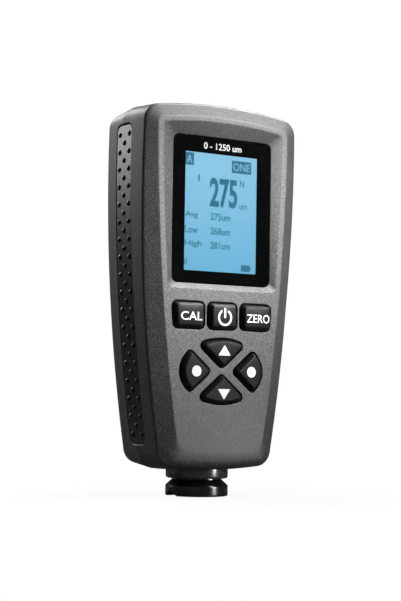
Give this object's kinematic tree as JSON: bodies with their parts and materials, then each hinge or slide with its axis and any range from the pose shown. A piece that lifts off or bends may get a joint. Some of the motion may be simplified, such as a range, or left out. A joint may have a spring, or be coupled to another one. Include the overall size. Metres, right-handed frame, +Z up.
{
  "type": "coating thickness gauge",
  "caption": "Hand-held coating thickness gauge with a backlit display, rubber keys, studded side grips and a spring-loaded probe in a sleeve at its foot.",
  "frame": {"origin": "middle of the probe sleeve's foot, on the surface that the gauge stands on", "axes": "+X to the right seen from the front, +Y to the back, +Z up along the probe axis"},
  "size_m": [0.0538, 0.0273, 0.1136],
  "materials": {
    "case_plastic": "fine textured charcoal",
    "grip_rubber": "matte",
    "window_glass": "clear gloss",
    "window_print": "black print behind clear plastic",
    "lcd_glass": "backlit light blue",
    "lcd_ink": "dark display segments",
    "backlight_plastic": "white",
    "board_green": "solder mask",
    "chip_black": "moulded",
    "key_rubber": "satin moulded",
    "legend_white": "white print",
    "mat_rubber": "matte",
    "sleeve_plastic": "satin turned",
    "core_steel": "ground",
    "coil_copper": "enamelled wire",
    "tip_hard": "polished",
    "spring_steel": "drawn wire",
    "cell_jacket": "plain jacket",
    "contact_nickel": "nickel plated",
    "screw_steel": "zinc plated"
  },
  "bodies": {
    "case": {"front_shell": "case_plastic", "rear_shell": "case_plastic", "left_grip": "grip_rubber", "right_grip": "grip_rubber", "display_window": "window_glass", "lcd_panel": "lcd_glass", "lcd_backlight": "backlight_plastic", "main_board": "board_green", "main_chip": "chip_black", "key_mat": "mat_rubber", "probe_sleeve": "sleeve_plastic", "probe_spring": "spring_steel", "probe_retainer": "sleeve_plastic", "battery_door": "case_plastic", "battery_left": "cell_jacket", "battery_right": "cell_jacket", "contact_bridge": "contact_nickel", "contact_left": "contact_nickel", "contact_right": "contact_nickel", "contact_spring_left": "contact_nickel", "contact_spring_right": "contact_nickel", "case_screws": "screw_steel", "board_screws": "screw_steel", "door_screw": "screw_steel"},
    "cal_key": {"key_cal": "key_rubber"},
    "power_key": {"key_power": "key_rubber"},
    "zero_key": {"key_zero": "key_rubber"},
    "up_key": {"key_up": "key_rubber"},
    "down_key": {"key_down": "key_rubber"},
    "left_key": {"key_left": "key_rubber"},
    "right_key": {"key_right": "key_rubber"},
    "plunger": {"probe_plunger": "sleeve_plastic", "probe_core": "core_steel", "probe_coil": "coil_copper", "probe_tip": "tip_hard"}
  },
  "joints": [
    {"name": "cal_press", "type": "slide", "parent": "case", "child": "cal_key", "axis": [0, 1, 0], "range_m": [0, 0.0006], "stiffness_N_per_m": 1500, "springref_m": -0.0004},
    {"name": "power_press", "type": "slide", "parent": "case", "child": "power_key", "axis": [0, 1, 0], "range_m": [0, 0.0006], "stiffness_N_per_m": 1500, "springref_m": -0.0004},
    {"name": "zero_press", "type": "slide", "parent": "case", "child": "zero_key", "axis": [0, 1, 0], "range_m": [0, 0.0006], "stiffness_N_per_m": 1500, "springref_m": -0.0004},
    {"name": "up_press", "type": "slide", "parent": "case", "child": "up_key", "axis": [0, 1, 0], "range_m": [0, 0.0006], "stiffness_N_per_m": 1500, "springref_m": -0.0004},
    {"name": "down_press", "type": "slide", "parent": "case", "child": "down_key", "axis": [0, 1, 0], "range_m": [0, 0.0006], "stiffness_N_per_m": 1500, "springref_m": -0.0004},
    {"name": "left_press", "type": "slide", "parent": "case", "child": "left_key", "axis": [0, 1, 0], "range_m": [0, 0.0006], "stiffness_N_per_m": 1500, "springref_m": -0.0004},
    {"name": "right_press", "type": "slide", "parent": "case", "child": "right_key", "axis": [0, 1, 0], "range_m": [0, 0.0006], "stiffness_N_per_m": 1500, "springref_m": -0.0004},
    {"name": "probe_press", "type": "slide", "parent": "case", "child": "plunger", "axis": [0, 0, 1], "range_m": [-0.0004, 0.0008], "stiffness_N_per_m": 150, "springref_m": -0.0014, "deforming": ["probe_spring"]}
  ]
}
